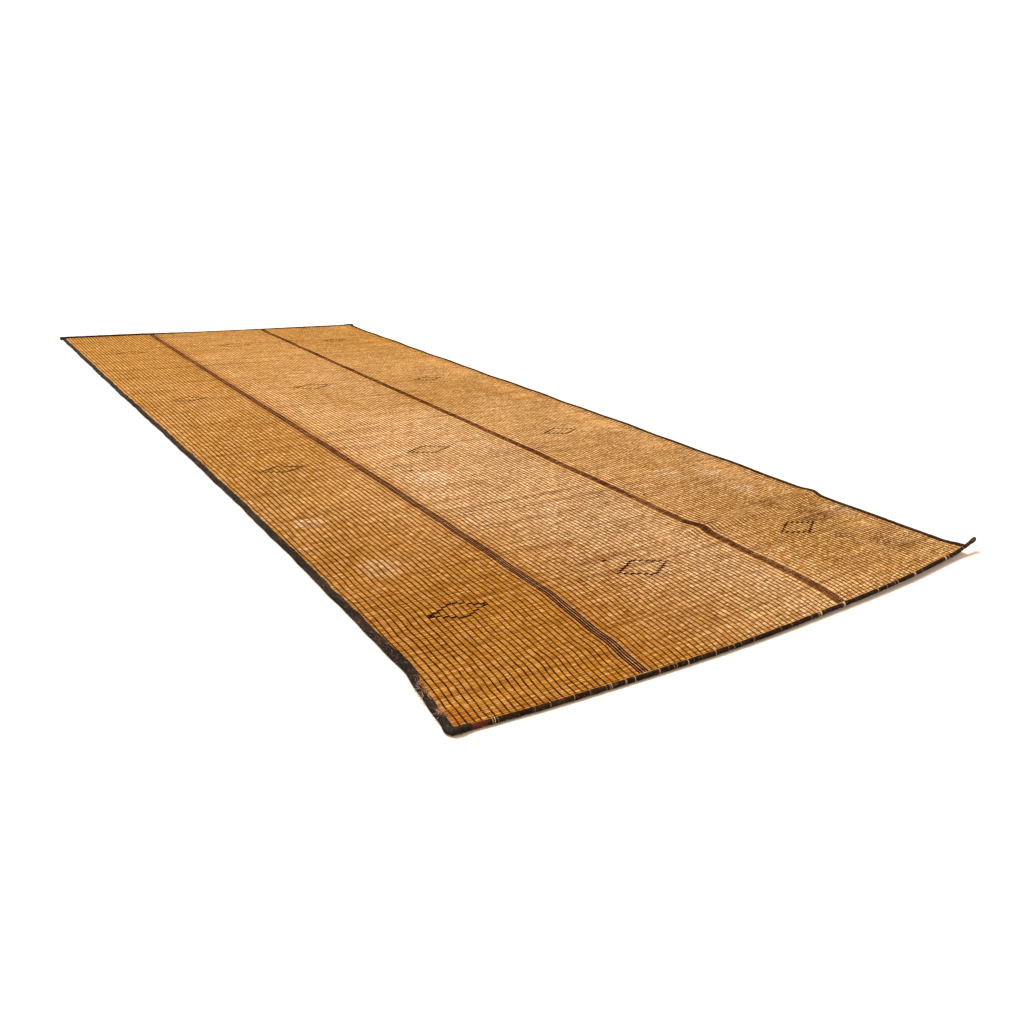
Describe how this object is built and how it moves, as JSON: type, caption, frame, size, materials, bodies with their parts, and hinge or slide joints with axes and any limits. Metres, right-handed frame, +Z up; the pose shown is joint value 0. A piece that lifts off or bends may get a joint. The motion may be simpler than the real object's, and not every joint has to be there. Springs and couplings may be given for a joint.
{
  "type": "reed and leather floor mat",
  "caption": "Long flat floor mat of reeds bound by leather thongs, with two dark stripes, lozenge motifs, leather side bindings and leather-wrapped end rolls.",
  "frame": {"origin": "on the floor under the middle of the mat's box", "axes": "+X across the mat to its right edge, +Y along the mat to its far end, +Z up from the floor"},
  "size_m": [1.9752, 4.7832, 0.0399],
  "materials": {
    "reed": "matte dry reed",
    "leather": "worn dark leather"
  },
  "bodies": {
    "root": {"reed_field": "reed", "binding_left": "leather", "binding_right": "leather", "end_roll_near": "leather", "end_roll_far": "leather", "corner_cap_near_left": "leather", "stick_cap_near_right": "leather"}
  },
  "joints": []
}
